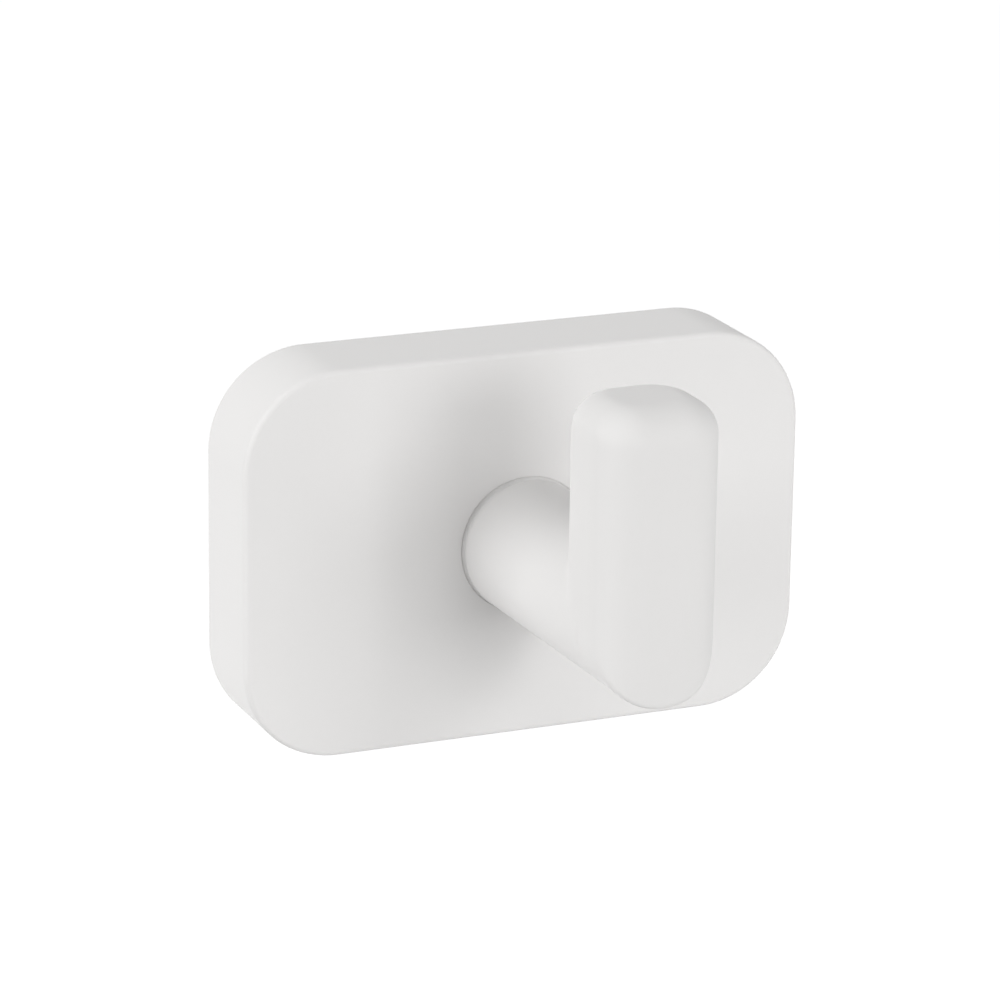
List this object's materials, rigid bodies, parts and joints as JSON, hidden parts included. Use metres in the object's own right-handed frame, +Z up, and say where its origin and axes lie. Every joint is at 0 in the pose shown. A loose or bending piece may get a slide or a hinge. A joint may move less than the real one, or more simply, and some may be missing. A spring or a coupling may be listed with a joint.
{
  "type": "adhesive wall hook",
  "caption": "Wall hook with a round arm and an upright rounded head on a rounded rectangular front, which slides onto a wall plate held by an adhesive pad.",
  "frame": {"origin": "centre of the adhesive pad's wall face, on the line of the hook's arm", "axes": "+Y into the wall, +Z up, +X along the housing's width"},
  "size_m": [0.06, 0.0438, 0.0428],
  "materials": {
    "housing_plastic": "satin moulded white",
    "hook_plastic": "satin moulded white",
    "plate_plastic": "plain moulded white",
    "pad_foam": "matt closed-cell foam",
    "tab_film": "milky film",
    "plated_steel": "bright zinc"
  },
  "bodies": {
    "wall_mount": {"wall_plate": "plate_plastic", "adhesive_pad": "pad_foam", "pull_tab": "tab_film"},
    "front": {"front_housing": "housing_plastic", "hook": "hook_plastic", "hook_screw": "plated_steel", "screw_washer": "plated_steel"}
  },
  "joints": [
    {"name": "housing_lift", "type": "slide", "parent": "wall_mount", "child": "front", "axis": [0, 0, 1], "range_m": [0, 0.027]}
  ]
}
